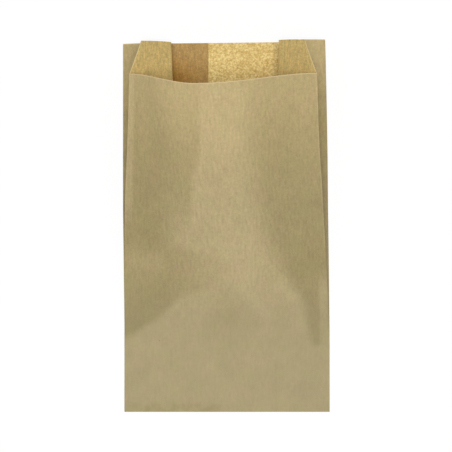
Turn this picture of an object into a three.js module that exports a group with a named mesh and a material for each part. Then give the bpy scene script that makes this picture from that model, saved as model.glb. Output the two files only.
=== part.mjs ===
// A brown paper lunch bag with side gussets, lying on its back panel with its mouth open.
// Units are millimetres. X runs across the bag, Y from the bottom fold to the mouth, Z up from the floor.
// The bag is one folded sheet, so the whole shape is one closed wall. Every section across it keeps the
// paper's width, and every line along it keeps the paper's length, so opening the mouth pulls the folds in.

import * as THREE from "three";

// The sheet and its folds
const BAG_WIDTH = 150;
const BAG_LENGTH = 270;
const LEFT_GUSSET = 37.8;
const RIGHT_GUSSET = 35.4;
const PAPER = 0.15;
const LAYER_GAP = 0.1;

// The bottom, folded under and glued to the back panel
const HEM_LENGTH = 12;
const HEM_LAYERS = 4;
const HEM_RAMP = 22;
const CUT_SLOPE = 0.3;

// The glued seam down the back panel: where the inner and the outer sheet end, from the bag's middle line
const SEAM_INNER_EDGE = -12.5;
const SEAM_WIDTH = 27.5;
const SEAM_TAPER = 10;

// The cut of the mouth
const LIP_DROP = 22.7;
const SLANT_WIDTH = 10;
const CUT_SKEW = 1.7;

// How high the front panel stands at its lip, and how far up the bag it starts to rise. The shoulder's round
// is never wider than WIDEST_ROUND times the way from the shoulder to the right fold.
const LEFT_FOLD_RISE = 34.5;
const LEFT_FOLD_START = 53;
const RIGHT_FOLD_RISE = 44;
const RIGHT_FOLD_START = 50;
const RIDGE_RISE = 74;
const RIDGE_START = 74;
const RIDGE_AT = -22;
const RIDGE_ROUND = 16;
const LIP_ROUND = 60;
const LIP_ROUND_FROM = 170;
const SHOULDER_RISE = 70;
const SHOULDER_START = 50;
const SHOULDER_AT = 12;
const SHOULDER_ROUND = 26;
const WIDEST_ROUND = 1.8;
const SHOULDER_FOOT = 50;
const SHOULDER_FOOT_AT = 63;
const SHOULDER_STRAIGHT_FROM = 170;
const FOOT_SOFTNESS = 0.12;
const EARLY_PACE = 1.22;
const LEFT_LATE_POWER = 1.03;
const RIGHT_LATE_POWER = 1.3;

// The right corner of the back panel curls up from the floor, and the upper bag leans to the left
const CURL_RISE = 14;
const CURL_FROM = 45;
const CURL_START = 80;
const CURL_SOFTNESS = 0.6;
const CURL_FOOT_SOFTNESS = 0.3;
const LEAN = 1.1;
const LEAN_START = 60;
const LEAN_LENGTH = 90;

// Which part of the slack lies at the left fold, low down and at the mouth
const LEFT_SHARE_LOW = 0.34;
const LEFT_SHARE_HIGH = 0.45;
const SHARE_START = 110;

// Fineness of the mesh and of the walk over the paper, and where the back's columns stand in its right half
const FRONT_COLUMNS = 15;
const BACK_COLUMNS_AT = [0.1, 0.3, 0.5, 0.66, 0.75, 0.85, 1];
const RAMP_ROWS = 4;
const ROW_STEP = 10;
const LAST_ROW_BELOW_LIP = 8;
const WALK_STEP = 3;
const WALK_PARTS = 10;
const SLOPE_STEP = 1;

// Worked out from the sizes above
const BEND = (PAPER + LAYER_GAP) / 2;
const LAYER = 2 * BEND;
const HALF = BAG_WIDTH / 2 - BEND - PAPER / 2;
const HEM_THICKNESS = HEM_LAYERS * PAPER;
const FRONT_OVER_BACK = 3 * LAYER + PAPER;
const STACK = HEM_THICKNESS + FRONT_OVER_BACK + PAPER;
const LEAST_GAP = 1.5 * LAYER;
const LIP_LENGTH = BAG_LENGTH - LIP_DROP;
const SEAM_OUTER_EDGE = SEAM_INNER_EDGE - SEAM_WIDTH;

// 0 below -width/2, the distance itself above width/2, and a parabola between them.
function ease(distance, width) {
  if (distance <= -width / 2) return 0;
  if (distance >= width / 2) return distance;
  return (distance + width / 2) ** 2 / (2 * width);
}

function share(value, from, length) {
  return Math.min(Math.max((value - from) / length, 0), 1);
}

function smooth(value, from, length) {
  const part = share(value, from, length);
  return part * part * (3 - 2 * part);
}

// How far the opening has come at a station: 0 at its start and 1 at the lip.
function progress(station, start) {
  return ease((station - start) / (LIP_LENGTH - start), FOOT_SOFTNESS);
}

function risesEarly(station, start) {
  const p = progress(station, start);
  return p * (EARLY_PACE - (EARLY_PACE - 1) * p);
}

function risesLate(station, start, power) {
  return progress(station, start) ** power;
}

// The hem lifts the layers above it, which sink back to the floor over the ramp.
function hemLift(station) {
  return HEM_THICKNESS * (1 - smooth(station, HEM_LENGTH, HEM_RAMP));
}

// The front panel is bent at a ridge and at a shoulder that runs down to the foot of the right fold, where
// the shoulder's round gets narrower so that it ends at the fold. The ridge gets rounder towards the lip.
function frontHeight(across, station) {
  const left = LEFT_FOLD_RISE * risesLate(station, LEFT_FOLD_START, LEFT_LATE_POWER);
  const right = RIGHT_FOLD_RISE * risesLate(station, RIGHT_FOLD_START, RIGHT_LATE_POWER);
  const ridge = RIDGE_RISE * risesEarly(station, RIDGE_START);
  const shoulder = SHOULDER_RISE * risesEarly(station, SHOULDER_START);
  const down = 1 - share(station, SHOULDER_FOOT, SHOULDER_STRAIGHT_FROM - SHOULDER_FOOT);
  const shoulderAt = SHOULDER_AT + (SHOULDER_FOOT_AT - SHOULDER_AT) * down;
  const leftSlope = (ridge - left) / (RIDGE_AT + HALF);
  const topSlope = (shoulder - ridge) / (shoulderAt - RIDGE_AT);
  const rightSlope = (right - shoulder) / (HALF - shoulderAt);
  const shoulderRound = Math.min(SHOULDER_ROUND, WIDEST_ROUND * (HALF - shoulderAt));
  const nearLip = smooth(station, LIP_ROUND_FROM, LIP_LENGTH - LIP_ROUND_FROM);
  const ridgeRound = RIDGE_ROUND + (LIP_ROUND - RIDGE_ROUND) * nearLip;
  return (
    PAPER / 2 + FRONT_OVER_BACK + hemLift(station) + left + leftSlope * (across + HALF) +
    (topSlope - leftSlope) * ease(across - RIDGE_AT, ridgeRound) +
    (rightSlope - topSlope) * ease(across - shoulderAt, shoulderRound)
  );
}

function backHeight(across, station) {
  const outward = ease((across - CURL_FROM) / (HALF - CURL_FROM), CURL_SOFTNESS);
  const upward = ease((station - CURL_START) / (BAG_LENGTH - CURL_START), CURL_FOOT_SOFTNESS);
  return PAPER / 2 + hemLift(station) + CURL_RISE * outward * upward;
}

// Walks across a panel at one station, and gives each column's point on the panel's middle line.
function panelPoints(columns, height) {
  let x = 0;
  return columns.map((across, i) => {
    const last = i > 0 ? columns[i - 1] : across;
    for (let k = 0; k < WALK_PARTS; k++) {
      const from = last + ((across - last) * k) / WALK_PARTS;
      const to = last + ((across - last) * (k + 1)) / WALK_PARTS;
      x += Math.sqrt(Math.max((to - from) ** 2 - (height(to) - height(from)) ** 2, 0));
    }
    const sine = (height(across + SLOPE_STEP / 2) - height(across - SLOPE_STEP / 2)) / SLOPE_STEP;
    return { x, z: height(across), alongX: Math.sqrt(1 - sine * sine), alongZ: sine };
  });
}

// A point of the wall's middle line, with the way out of the paper there.
function wallPoint(x, z, outX, outZ, more) {
  return { x, z, outX, outZ, ...more };
}

// The fold inside a gusset lies the gusset's half width from both of its outer folds, between the panels.
function gussetApex(top, bottom, side, halfWidth, station) {
  const acrossX = top.x - bottom.x;
  const acrossZ = top.z - bottom.z;
  const gap = Math.hypot(acrossX, acrossZ);
  const reach = Math.sqrt(halfWidth ** 2 - (gap / 2) ** 2);
  const level = (top.z + bottom.z) / 2 + (side * acrossX * reach) / gap;
  const across = side * (HALF - halfWidth);
  const lowest = backHeight(across, station) + seamInside(across) + LEAST_GAP;
  const highest = Math.max(frontHeight(across, station) - LEAST_GAP, lowest);
  const z = Math.min(Math.max(level, lowest), highest);
  return { x: bottom.x - side * Math.sqrt(halfWidth ** 2 - (z - bottom.z) ** 2), z };
}

// One flat gusset panel from one fold's centre to the next. A turn is 1 at an outer fold and -1 at the
// inner one.
function gussetPanel(from, to, fromTurn, toTurn, steps) {
  const length = Math.hypot(to.x - from.x, to.z - from.z);
  const way = { x: (to.x - from.x) / length, z: (to.z - from.z) / length };
  const out = { x: way.z, z: -way.x };
  const points = steps.map(({ part, ...more }) => {
    const turn = (1 - part) * fromTurn + part * toTurn;
    const x = from.x + (to.x - from.x) * part + BEND * turn * out.x;
    const z = from.z + (to.z - from.z) * part + BEND * turn * out.z;
    return wallPoint(x, z, out.x, out.z, more);
  });
  return { points, way };
}

// The middle of a fold's round back, between the panel that comes in and the one that goes out.
function foldPoint(centre, wayIn, wayOut, turn, more) {
  const x = wayIn.x - wayOut.x;
  const z = wayIn.z - wayOut.z;
  const length = Math.hypot(x, z);
  const backX = x / length;
  const backZ = z / length;
  return wallPoint(centre.x + BEND * backX, centre.z + BEND * backZ, turn * backX, turn * backZ, more);
}

// Paper lines that run along the bag: the front's and the back's columns, from the left to the right fold.
const frontColumns = Array.from(
  { length: FRONT_COLUMNS },
  (_, i) => (2 * HALF * i) / (FRONT_COLUMNS - 1) - HALF,
);
const backColumns = [
  -HALF,
  (SEAM_OUTER_EDGE - SEAM_TAPER - HALF) / 2,
  SEAM_OUTER_EDGE - SEAM_TAPER,
  SEAM_OUTER_EDGE - CUT_SLOPE,
  SEAM_OUTER_EDGE,
  (SEAM_OUTER_EDGE + SEAM_INNER_EDGE) / 2,
  SEAM_INNER_EDGE,
  SEAM_INNER_EDGE + CUT_SLOPE,
  ...BACK_COLUMNS_AT.map((part) => HALF * part),
];

// The doubled wall of the seam: how far the single sheets' faces stand off the plain middle line.
function seamInside(across) {
  if (across > SEAM_INNER_EDGE) return 0;
  if (across >= SEAM_OUTER_EDGE) return PAPER;
  return PAPER * share(across, SEAM_OUTER_EDGE - SEAM_TAPER, SEAM_TAPER - CUT_SLOPE);
}

function seamOutside(across) {
  return across >= SEAM_OUTER_EDGE ? 0 : seamInside(across);
}

// The mouth is cut a little askew: how much longer a line of the sheet is than the one in the middle.
function cutSkew(across) {
  return (CUT_SKEW * across) / (2 * HALF);
}

// The closed line of the wall at one station, anticlockwise seen from the bottom fold: the front from right
// to left, the left gusset, the back from left to right, and the right gusset.
function wallSection(station) {
  const frontLine = panelPoints(frontColumns, (across) => frontHeight(across, station));
  const backLine = panelPoints(backColumns, (across) => backHeight(across, station));
  const last = backLine[backLine.length - 1];
  const slack = last.x - frontLine[frontLine.length - 1].x;
  const leftShare =
    LEFT_SHARE_LOW +
    (LEFT_SHARE_HIGH - LEFT_SHARE_LOW) * share(station, SHARE_START, LIP_LENGTH - SHARE_START);
  const backShift = -HALF - LEAN * share(station, LEAN_START, LEAN_LENGTH);
  const frontShift = backShift + slack * leftShare;

  const front = frontLine
    .map((p, i) =>
      wallPoint(p.x + frontShift, p.z, -p.alongZ, p.alongX, {
        across: frontColumns[i],
        cut: LIP_LENGTH + cutSkew(frontColumns[i]),
        place: "front",
      }),
    )
    .reverse();
  const back = backLine.map((p, i) =>
    wallPoint(p.x + backShift, p.z, p.alongZ, -p.alongX, {
      across: backColumns[i],
      cut: BAG_LENGTH + cutSkew(backColumns[i]),
      place: "back",
    }),
  );

  function centreBehind(point) {
    return { x: point.x - BEND * point.outX, z: point.z - BEND * point.outZ };
  }

  function wayOf(point) {
    return { x: -point.outZ, z: point.outX };
  }

  function gusset(side, halfWidth, frontEnd, backEnd) {
    const skew = (side * CUT_SKEW) / 2;
    const lip = { place: "gusset", cut: LIP_LENGTH + skew };
    const full = { place: "gusset", cut: BAG_LENGTH + skew };
    const top = centreBehind(frontEnd);
    const bottom = centreBehind(backEnd);
    const inner = gussetApex(top, bottom, side, halfWidth, station);
    const slant = SLANT_WIDTH / halfWidth;
    const frontSteps = [
      { part: 0, ...lip },
      { part: slant, ...full },
      { part: (1 + slant) / 2, ...full },
      { part: 1, ...full },
    ];
    const backSteps = [
      { part: 0, ...full },
      { part: 0.5, ...full },
      { part: 1, ...full },
    ];
    if (side < 0) {
      const upper = gussetPanel(top, inner, 1, -1, frontSteps);
      const lower = gussetPanel(inner, bottom, -1, 1, backSteps);
      return [
        foldPoint(top, wayOf(frontEnd), upper.way, 1, { ...lip, place: "front fold" }),
        ...upper.points,
        foldPoint(inner, upper.way, lower.way, -1, { ...full, place: "inner fold" }),
        ...lower.points,
        foldPoint(bottom, lower.way, wayOf(backEnd), 1, { ...full, place: "back fold" }),
      ];
    }
    const lowerSteps = backSteps.map((step) => ({ ...step, part: 1 - step.part })).reverse();
    const upperSteps = frontSteps.map((step) => ({ ...step, part: 1 - step.part })).reverse();
    const lower = gussetPanel(bottom, inner, 1, -1, lowerSteps);
    const upper = gussetPanel(inner, top, -1, 1, upperSteps);
    return [
      foldPoint(bottom, wayOf(backEnd), lower.way, 1, { ...full, place: "back fold" }),
      ...lower.points,
      foldPoint(inner, lower.way, upper.way, -1, { ...full, place: "inner fold" }),
      ...upper.points,
      foldPoint(top, upper.way, wayOf(frontEnd), 1, { ...lip, place: "front fold" }),
    ];
  }

  return [
    ...front,
    ...gusset(-1, LEFT_GUSSET, front[front.length - 1], back[0]),
    ...back,
    ...gusset(1, RIGHT_GUSSET, front[0], back[back.length - 1]),
  ];
}

// Walks up the paper along every line at once, and keeps how far each has come along Y.
function walkUp() {
  const stations = [];
  const furthest = BAG_LENGTH + CUT_SKEW + WALK_STEP;
  for (let station = 0; station <= furthest + WALK_STEP; station += WALK_STEP) {
    const points = wallSection(station);
    const before = stations[stations.length - 1];
    points.forEach((p, i) => {
      if (!before) {
        p.y = 0;
        return;
      }
      const q = before[i];
      p.y = q.y + Math.sqrt(Math.max(WALK_STEP ** 2 - (p.x - q.x) ** 2 - (p.z - q.z) ** 2, 0));
    });
    stations.push(points);
  }
  return stations;
}

const walked = walkUp();
const lines = walked[0];

function mix(low, high, part) {
  return low + (high - low) * part;
}

// The two faces of the paper on one line at one station.
function faces(line, station) {
  const k = Math.floor(station / WALK_STEP);
  const part = station / WALK_STEP - k;
  const low = walked[k][line];
  const high = walked[k + 1][line];
  const outX = mix(low.outX, high.outX, part);
  const outZ = mix(low.outZ, high.outZ, part);
  const x = mix(low.x, high.x, part);
  const y = mix(low.y, high.y, part);
  const z = mix(low.z, high.z, part);
  const onBack = low.place === "back";
  const outside = onBack ? PAPER / 2 - seamOutside(low.across) : PAPER / 2;
  const inside = onBack ? PAPER / 2 + seamInside(low.across) : PAPER / 2;
  return {
    outer: [x + outX * outside, y, z + outZ * outside],
    inner: [x - outX * inside, y, z - outZ * inside],
  };
}

// The mesh: a list of corners and a list of triangles
const corners = [];
const triangles = [];

function corner(point) {
  corners.push(...point);
  return corners.length / 3 - 1;
}

// A band between two closed rings of corners with the same count. The second ring lies further up the bag.
function band(low, high, facesOut) {
  low.forEach((a, i) => {
    const next = (i + 1) % low.length;
    const b = low[next];
    const c = high[next];
    const d = high[i];
    if (facesOut) triangles.push(a, d, c, a, c, b);
    else triangles.push(a, c, d, a, b, c);
  });
}

// Fills the space between two chains of corners that run the same way in X.
function fill(upper, lower, facesDown) {
  let i = 0;
  let j = 0;
  const acrossOf = (index) => corners[3 * index];
  while (i < upper.length - 1 || j < lower.length - 1) {
    const sign = Math.sign(acrossOf(upper[upper.length - 1]) - acrossOf(upper[0]));
    const upperNext = i < upper.length - 1 ? sign * acrossOf(upper[i + 1]) : Infinity;
    const lowerNext = j < lower.length - 1 ? sign * acrossOf(lower[j + 1]) : Infinity;
    const takeUpper = upperNext <= lowerNext;
    const third = takeUpper ? upper[i + 1] : lower[j + 1];
    const triangle = [upper[i], lower[j], third];
    if (new Set(triangle).size === 3) {
      if (sign > 0 === facesDown) triangles.push(triangle[0], triangle[1], triangle[2]);
      else triangles.push(triangle[0], triangle[2], triangle[1]);
    }
    if (takeUpper) i += 1;
    else j += 1;
  }
}

// Stations of the rows: the hem's own, then even steps, then two more up to the cut of each line.
const CLOSED_AT = STACK / 2;
const CAVITY_AT = CLOSED_AT + PAPER;
const lowRows = [HEM_LENGTH / 2, HEM_LENGTH, HEM_LENGTH + CUT_SLOPE];
for (let i = 1; i <= RAMP_ROWS; i++) {
  lowRows.push(HEM_LENGTH + CUT_SLOPE + ((HEM_RAMP - CUT_SLOPE) * i) / RAMP_ROWS);
}
const lastEvenRow = LIP_LENGTH - LAST_ROW_BELOW_LIP;
const evenRows = Math.round((lastEvenRow - HEM_LENGTH - HEM_RAMP) / ROW_STEP);
const midRows = Array.from(
  { length: evenRows },
  (_, i) => mix(HEM_LENGTH + HEM_RAMP, lastEvenRow, (i + 1) / evenRows),
);
const plainRows = [...lowRows, ...midRows];

function ringAt(stationOf, side) {
  return lines.map((line, i) => {
    const station = stationOf(line);
    const point = faces(i, station)[side];
    if (side === "outer" && line.place === "back" && station <= HEM_LENGTH) point[2] = 0;
    return corner(point);
  });
}

function ringsOf(side, firstStation) {
  const rings = [ringAt(() => firstStation, side)];
  plainRows.forEach((station) => rings.push(ringAt(() => station, side)));
  rings.push(ringAt((line) => mix(lastEvenRow, line.cut, 0.5), side));
  rings.push(ringAt((line) => line.cut, side));
  return rings;
}

const outerRings = ringsOf("outer", CLOSED_AT);
const innerRings = ringsOf("inner", CAVITY_AT);
for (let i = 1; i < outerRings.length; i++) band(outerRings[i - 1], outerRings[i], true);
for (let i = 1; i < innerRings.length; i++) band(innerRings[i - 1], innerRings[i], false);
band(outerRings[outerRings.length - 1], innerRings[innerRings.length - 1], true);

// Numbers of the lines in each stretch of the ring
function linesWhere(place) {
  return lines.map((line, i) => (line.place === place ? i : -1)).filter((i) => i >= 0);
}

const frontLines = linesWhere("front");
const backLines = linesWhere("back");
const [leftFrontFold, rightFrontFold] = linesWhere("front fold");
const [leftBackFold, rightBackFold] = linesWhere("back fold");
const [leftInnerFold, rightInnerFold] = linesWhere("inner fold");

function between(from, to) {
  const step = Math.sign(to - from);
  return Array.from({ length: Math.abs(to - from) + 1 }, (_, i) => from + step * i);
}

const slots = [
  { upper: between(leftFrontFold, leftInnerFold), lower: between(leftBackFold, leftInnerFold) },
  { upper: between(rightFrontFold, rightInnerFold), lower: between(rightBackFold, rightInnerFold) },
];

// The space between the gusset's halves ends where the layers meet at the bottom fold.
slots.forEach(({ upper, lower }) => {
  fill(upper.map((i) => outerRings[0][i]), lower.map((i) => outerRings[0][i]), false);
});

// The inside of the bag ends there too: a pocket above and one below each gusset, and the space between.
const acrossOfLine = (ring, i) => corners[3 * ring[i]];
const cavity = innerRings[0];
const leftEnd = acrossOfLine(cavity, leftInnerFold);
const rightEnd = acrossOfLine(cavity, rightInnerFold);
const frontLeftToRight = [...frontLines].reverse();
const inMiddle = (i) => acrossOfLine(cavity, i) > leftEnd && acrossOfLine(cavity, i) < rightEnd;
const frontMiddle = frontLeftToRight.filter(inMiddle);
const backMiddle = backLines.filter(inMiddle);
const frontLeft = frontLeftToRight.filter((i) => acrossOfLine(cavity, i) <= leftEnd);
const frontRight = frontLeftToRight.filter((i) => acrossOfLine(cavity, i) >= rightEnd).reverse();
const backLeft = backLines.filter((i) => acrossOfLine(cavity, i) <= leftEnd);
const backRight = backLines.filter((i) => acrossOfLine(cavity, i) >= rightEnd).reverse();
const lastOf = (list) => list[list.length - 1];
const cavityFills = [
  [[leftFrontFold, ...frontLeft, frontMiddle[0]], slots[0].upper],
  [slots[0].lower, [leftBackFold, ...backLeft, backMiddle[0]]],
  [[leftInnerFold, ...frontMiddle, rightInnerFold], [leftInnerFold, ...backMiddle, rightInnerFold]],
  [[rightFrontFold, ...frontRight, lastOf(frontMiddle)], slots[1].upper],
  [slots[1].lower, [rightBackFold, ...backRight, lastOf(backMiddle)]],
];
cavityFills.forEach(([upper, lower]) => {
  fill(upper.map((i) => cavity[i]), lower.map((i) => cavity[i]), false);
});

// Below the slots the layers are one stack, which ends in the round bottom fold.
const stackLines = [
  ...frontLines,
  leftFrontFold,
  leftBackFold,
  ...backLines,
  rightBackFold,
  rightFrontFold,
];
const roundRows = [0.35, 0.72];
let above = stackLines.map((i) => outerRings[0][i]);
const middleHeight = STACK / 2;
[...roundRows].reverse().forEach((height) => {
  const y = CLOSED_AT * (1 - Math.sqrt(1 - height * height));
  const ring = stackLines.map((i) => {
    const x = corners[3 * outerRings[0][i]];
    const z = corners[3 * outerRings[0][i] + 2];
    return corner([x, y, middleHeight + (z - middleHeight) * height]);
  });
  band(ring, above, true);
  above = ring;
});
const atStack = (i) => above[stackLines.indexOf(i)];
fill(
  [leftFrontFold, ...frontLeftToRight, rightFrontFold].map(atStack),
  [leftBackFold, ...backLines, rightBackFold].map(atStack),
  true,
);

// The finished bag, with the origin on the floor under the middle of its outline
const geometry = new THREE.BufferGeometry();
geometry.setAttribute("position", new THREE.Float32BufferAttribute(corners, 3));
geometry.setIndex(triangles);
geometry.computeVertexNormals();
geometry.computeBoundingBox();
const middle = geometry.boundingBox.getCenter(new THREE.Vector3());

const kraftPaper = new THREE.MeshStandardMaterial({ color: 0xb39d70, roughness: 0.85, metalness: 0 });
const bag = new THREE.Mesh(geometry, kraftPaper);
bag.name = "paper_bag";
bag.position.set(-middle.x, -middle.y, -geometry.boundingBox.min.z);

const group = new THREE.Group();
group.add(bag);

export default group;
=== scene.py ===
"""A brown paper lunch bag that lies on its back panel with its mouth open, seen from straight above.

The bag is one folded sheet. Its shape is worked out in millimetres from the same folds as the CAD solid,
on a finer grid, with the soft creases and the waviness that thin paper keeps.
Across is the place on a panel from its middle line, station the place along the paper from the bottom fold.
"""

import bpy
import numpy as np
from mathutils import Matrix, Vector


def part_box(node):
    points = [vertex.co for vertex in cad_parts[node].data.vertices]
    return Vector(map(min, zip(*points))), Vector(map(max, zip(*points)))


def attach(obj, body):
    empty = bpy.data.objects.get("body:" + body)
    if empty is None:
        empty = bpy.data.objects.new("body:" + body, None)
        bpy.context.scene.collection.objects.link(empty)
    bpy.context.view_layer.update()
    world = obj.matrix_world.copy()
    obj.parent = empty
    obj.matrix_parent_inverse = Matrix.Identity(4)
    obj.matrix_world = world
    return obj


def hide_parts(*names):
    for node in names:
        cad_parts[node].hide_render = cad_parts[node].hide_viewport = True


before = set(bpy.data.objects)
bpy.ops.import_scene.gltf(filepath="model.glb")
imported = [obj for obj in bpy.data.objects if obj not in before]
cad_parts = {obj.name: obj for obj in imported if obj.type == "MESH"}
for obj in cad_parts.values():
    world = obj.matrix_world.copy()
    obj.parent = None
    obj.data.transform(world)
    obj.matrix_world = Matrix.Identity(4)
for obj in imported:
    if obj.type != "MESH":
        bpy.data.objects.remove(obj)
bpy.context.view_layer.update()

MM = 0.001

# The sheet and its folds
BAG_WIDTH = 150
BAG_LENGTH = 270
LEFT_GUSSET = 37.8
RIGHT_GUSSET = 35.4
PAPER = 0.15
LAYER_GAP = 0.1
HEM_LENGTH = 12
HEM_LAYERS = 4
HEM_RAMP = 22
CUT_SLOPE = 0.3
SEAM_INNER_EDGE = -12.5
SEAM_WIDTH = 27.5
SEAM_TAPER = 10
LIP_DROP = 22.7
SLANT_WIDTH = 10
CUT_SKEW = 1.7

# How high the front stands at its lip, and how far up the bag it starts to rise
LEFT_FOLD_RISE = 34.5
LEFT_FOLD_START = 53
RIGHT_FOLD_RISE = 44
RIGHT_FOLD_START = 50
RIDGE_RISE = 74
RIDGE_START = 74
RIDGE_AT = -22
RIDGE_ROUND = 16
LIP_ROUND = 60
LIP_ROUND_FROM = 170
SHOULDER_RISE = 70
SHOULDER_START = 50
SHOULDER_AT = 12
SHOULDER_ROUND = 26
WIDEST_ROUND = 1.8
SHOULDER_FOOT = 50
SHOULDER_FOOT_AT = 63
SHOULDER_STRAIGHT_FROM = 170
FOOT_SOFTNESS = 0.12
EARLY_PACE = 1.22
LEFT_LATE_POWER = 1.03
RIGHT_LATE_POWER = 1.3

# The curl of the right back corner, the lean, and where the front's slack lies
CURL_RISE = 14
CURL_FROM = 45
CURL_START = 80
CURL_SOFTNESS = 0.6
CURL_FOOT_SOFTNESS = 0.3
LEAN = 1.1
LEAN_START = 60
LEAN_LENGTH = 90
LEFT_SHARE_LOW = 0.34
LEFT_SHARE_HIGH = 0.45
SHARE_START = 110

# Fineness of the mesh
FRONT_COLUMNS = 96
BACK_STEP = 1.9
GUSSET_COLUMNS = 20
ROW_STEP = 2.3
LAST_ROW_BELOW_LIP = 8
ROWS_TO_CUT = 13
WALK_STEP = 1.5
BOTTOM_ROUND_AT = (0.72, 0.35)
SHARP_FROM_DEGREES = 40

# Worked out from the sizes above
BEND = (PAPER + LAYER_GAP) / 2
LAYER = 2 * BEND
HALF = BAG_WIDTH / 2 - BEND - PAPER / 2
HEM_THICKNESS = HEM_LAYERS * PAPER
FRONT_OVER_BACK = 3 * LAYER + PAPER
STACK = HEM_THICKNESS + FRONT_OVER_BACK + PAPER
LEAST_GAP = 1.5 * LAYER
LIP_LENGTH = BAG_LENGTH - LIP_DROP
SEAM_OUTER_EDGE = SEAM_INNER_EDGE - SEAM_WIDTH
CLOSED_AT = STACK / 2
CAVITY_AT = CLOSED_AT + PAPER
LAST_EVEN_ROW = LIP_LENGTH - LAST_ROW_BELOW_LIP

# Soft creases pressed into the front: both ends as across and station, height, and reach to each side
CREASES = [
    ((-76, 118), (-30, 127), 0.9, 13),
    ((-76, 50), (-2, 92), 0.9, 17),
    ((-4, 92), (30, 100), 0.4, 12),
    ((68, 50), (69, 150), 0.5, 5),
    ((-24, 120), (-22, 222), 0.35, 7),
    ((16, 160), (60, 56), 0.5, 8),
]
CREASE_END = 0.4
CREASE_PAST_END = 0.25
CREASE_ROUND = 0.02

# Shallow dents in the front: across, station, depth and radius
DENTS = [(-1, 70, 0.5, 17), (62, 54, 0.5, 6), (-50, 150, 0.5, 20), (40, 150, 0.3, 18)]
RELIEF_START = (20, 35)
FOLD_FADE_POWER = 10

# Waviness of the paper: waves per 100 mm across and along, phase and height
WAVES = [
    (1.3, 0.7, 0.4, 0.10),
    (2.6, -1.1, 1.9, 0.06),
    (0.6, 2.3, 3.1, 0.09),
    (3.7, 1.9, 5.0, 0.035),
]
TURN_PER_MM = 0.0628
WAVES_START = (8, 40)

# Shade laid on the front to match the tones of the photo, which the lights alone don't give. Its cause is a
# guess: the side folds and gaps behind the thin paper let less light come through it. A list gives values at
# places, and a pair gives where a soft edge starts and how wide it is.
LEFT_STEP = [(120, 0), (144, 0.06), (164, 0.13), (180, 0.16), (194, 0.16), (224, 0.09), (244, 0.05)]
LEFT_STEP_AT = [(134, -30), (154, -22), (184, -19), (194, -14), (240, -12)]
LEFT_STEP_EDGE = (-2, 5)
LEFT_DEEPENING = [(128, 0.23), (144, 0.19), (154, 0.14), (164, 0.1), (180, 0.045)]
LEFT_DEEPENING_EDGE = (28, 24)
FOLD_LIGHT = 0.14
FOLD_LIGHT_EDGE = (HALF - 7, 3)
FOLD_LIGHT_START = (136, 12)

FOOT_SHADE = 0.21
FOOT_EDGE_AT = [(-75, 52), (-55, 64), (-43, 74), (-36, 83), (-8, 93), (2, 102)]
FOOT_EDGE = (-3, 9)
FOOT_DEEPENING = (-4, 52)
FOOT_BAND = 0.3
FOOT_BAND_AT = 112
FOOT_BAND_WIDTH = 7
FOOT_BAND_EDGE = (40, 10)
FOOT_END = (119, 10)

RIGHT_SHADE = [(50, 0.17), (80, 0.2), (104, 0.24), (144, 0.21), (190, 0.185), (214, 0.15), (240, 0.09)]
RIGHT_EDGE_AT = [(50, 60), (83, 53.7), (106, 35.5), (128, 24), (164, 16)]
FINGER_SOFTNESS = 8
FLANK_SOFTNESS = 28
FLANK_START = (70, 60)
FINGER_TIP = (46, 6)
STRIP_LIGHT = 0.75
STRIP_EDGE = (66.5, 3)
STRIP_END = (90, 20)

SPOT_SHADE = 0.08
SPOT_AT = (3, 68)
SPOT_RADIUS = 14
RIDGE_LIGHT = 0.06
RIDGE_LIGHT_AT = [(64, 30), (84, 17), (124, 8)]
RIDGE_LIGHT_WIDTH = 11
RIDGE_LIGHT_START = (62, 14)
RIDGE_LIGHT_END = (122, 26)
# A painted light line along both folds of the front
FOLD_LIGHT_LINE = 0.15
FOLD_LIGHT_LINE_EDGE = (HALF - 1, 1)
FOLD_LIGHT_LINE_START = (110, 30)

# The same for the gusset halves that show beside the front, at stations up the bag
LEFT_GUSSET_SHADE = [
    (100, 0.8),
    (134, 0.58),
    (146, 0.6),
    (160, 0.69),
    (190, 0.7),
    (204, 0.74),
    (213, 0.69),
    (230, 0.78),
    (256, 0.83),
]
RIGHT_GUSSET_SHADE = [
    (100, 0.8),
    (142, 0.74),
    (195, 0.73),
    (213, 0.69),
    (230, 0.75),
    (256, 0.93),
]

# Colours, as they show on a screen
PRESSED_FLAT = (170, 156, 118)
# The next two colours are painted light: the front grows lighter and warmer up towards the lip, standing in
# for light that comes through the single open sheet
RISING_PAINTED_LIGHT = (180, 163, 122)
NEAR_LIP_PAINTED_LIGHT = (194, 174, 127)
LIP_EDGE = (222, 198, 152)
CUT_FACE = (222, 200, 156)
# The next two golden tones are partly the paper's colour and partly painted light for the light that comes
# through the single back layer, which the doubled seam blocks
GOLD_DARK = (201, 165, 90)
GOLD_LIGHT = (247, 225, 157)
SEAM_BROWN = (180, 147, 91)
# The deeper brown is painted shade, down in the bag and beside the left gusset
SEAM_PAINTED_SHADE = (168, 124, 54)
GUSSET_GOLD = (210, 184, 119)
SLANT_EDGE = (236, 214, 156)
SPECK = (112, 88, 52)

# Tints that are laid over the colours
ROSY = (1.012, 0.99, 1.01)
OLIVE = (0.99, 1.006, 0.985)
# A darker, olive tint for mottles along the bottom fold
HEM_DARKENING = (0.88, 0.89, 0.82)
SHADE_WARMTH = 1.2
FRONT_WARMTH = 0.15

# From where to where one tone gives way to the next: stations, places across, and distances from the cut
# The next two spans are where the painted light comes in up the front
RISING_PAINTED_LIGHT_BETWEEN = (62, 112)
NEAR_LIP_PAINTED_LIGHT_BETWEEN = (150, 246)
ROUGHER_BETWEEN = (50, 120)
# The next two spans are where the mottles along the bottom fold darken
HEM_DARKENING_BETWEEN = (4, 9)
HEM_DARKENING_LEFT_OF = (-12, -2)
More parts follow.
